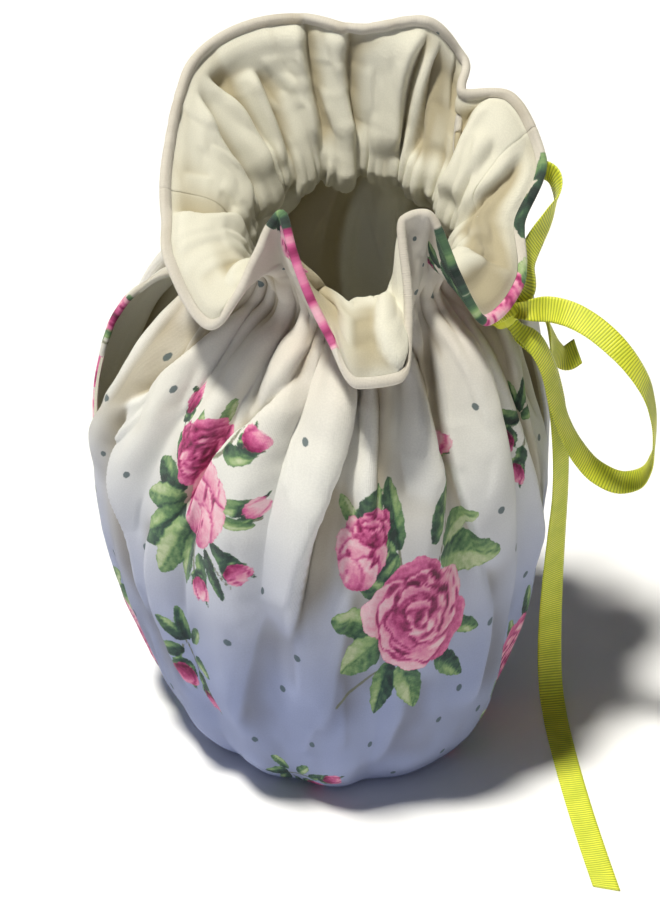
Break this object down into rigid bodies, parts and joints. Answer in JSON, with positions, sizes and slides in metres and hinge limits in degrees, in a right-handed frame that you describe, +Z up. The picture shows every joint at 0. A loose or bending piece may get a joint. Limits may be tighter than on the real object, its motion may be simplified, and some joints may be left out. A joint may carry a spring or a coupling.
{
  "type": "tea cosy",
  "caption": "Gathered floral cotton tea cosy with a frilled neck, slits for spout and handle, and a ribbon bow.",
  "frame": {"origin": "on the surface that the cosy stands on, in the middle of the floor that it covers with its ribbon", "axes": "+Z up from the hem to the frill, -Y towards the front, +X towards the bow"},
  "size_m": [0.2318, 0.2292, 0.2959],
  "materials": {
    "print_cotton": "matte off-white cotton with a rose and dot print",
    "cream_cotton": "matte plain cream cotton",
    "green_grosgrain": "ribbed grosgrain with a low sheen"
  },
  "bodies": {
    "root": {"front_cover": "print_cotton", "front_lining": "cream_cotton", "back_cover": "print_cotton", "back_lining": "cream_cotton", "ribbon_knot": "green_grosgrain", "ribbon_loop": "green_grosgrain", "ribbon_back_loop": "green_grosgrain", "ribbon_long_tail": "green_grosgrain", "ribbon_short_tail": "green_grosgrain"}
  },
  "joints": []
}
